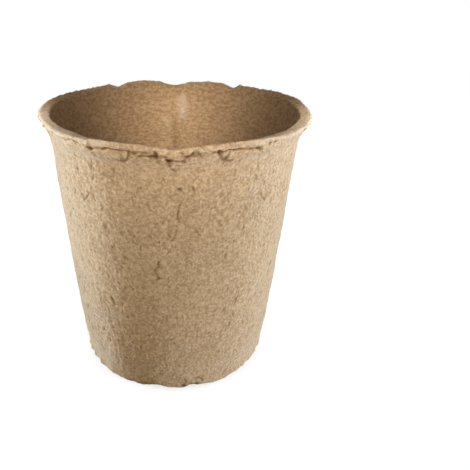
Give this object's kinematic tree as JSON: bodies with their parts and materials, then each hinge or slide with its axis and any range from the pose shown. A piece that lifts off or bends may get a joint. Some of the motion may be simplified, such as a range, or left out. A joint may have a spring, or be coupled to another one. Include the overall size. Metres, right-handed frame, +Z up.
{
  "type": "peat pot",
  "caption": "Round tapered seedling pot of moulded brown peat and fibre pulp, open at the top, with a flared uneven lip, a rough wall and a flat drained base.",
  "frame": {"origin": "middle of the standing face, on the axis of the pot", "axes": "+Z up through the mouth, along the axis of the pot; -Y to the front, where the lip is folded down"},
  "size_m": [0.06, 0.06, 0.0598],
  "materials": {
    "pulp": "dry, matt, rough moulded fibre pulp"
  },
  "bodies": {
    "root": {"base": "pulp", "side_wall": "pulp", "rim": "pulp"}
  },
  "joints": []
}
